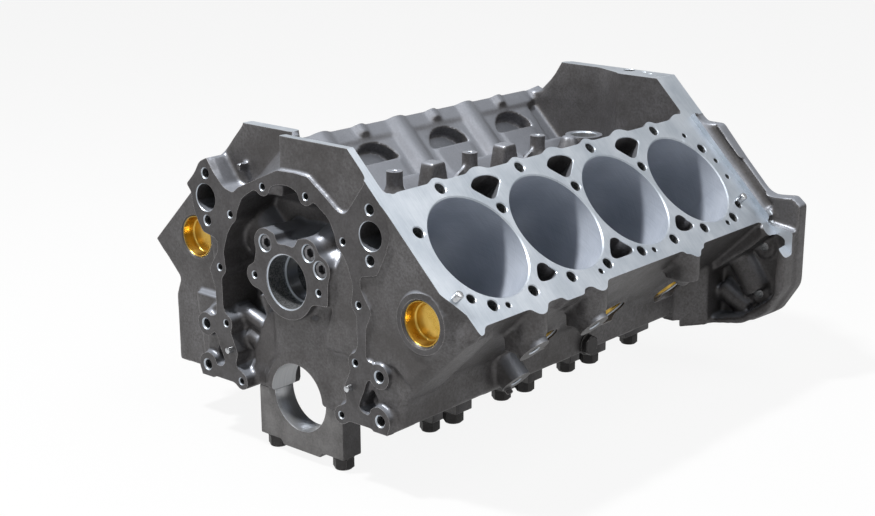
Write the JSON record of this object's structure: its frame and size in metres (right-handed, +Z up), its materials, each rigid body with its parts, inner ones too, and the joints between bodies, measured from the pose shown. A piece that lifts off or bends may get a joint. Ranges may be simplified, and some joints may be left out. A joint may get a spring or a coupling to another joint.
{
  "type": "engine block",
  "caption": "Bare cast-iron V-type engine block with open cylinders, lifter valley, timing chest, crankcase, main bearing caps and brass core plugs.",
  "frame": {"origin": "on the crankshaft axis at the front end of the first main bearing bore", "axes": "+Y along the crankshaft to the rear, +X to the bank that the picture shows best, +Z up"},
  "size_m": [0.4914, 0.5183, 0.31],
  "materials": {
    "casting": "rough",
    "cap_iron": "satin",
    "bolt_steel": "satin",
    "dowel_steel": "polished",
    "plug_brass": "satin"
  },
  "bodies": {
    "root": {"block": "casting", "main_cap_1": "cap_iron", "main_cap_2": "cap_iron", "main_cap_3": "cap_iron", "main_cap_4": "cap_iron", "main_cap_5": "cap_iron", "inner_cap_bolts": "bolt_steel", "outer_cap_bolts": "bolt_steel", "core_plugs": "plug_brass", "drain_plugs": "bolt_steel", "timing_dowels": "dowel_steel", "deck_dowels": "dowel_steel"}
  },
  "joints": []
}
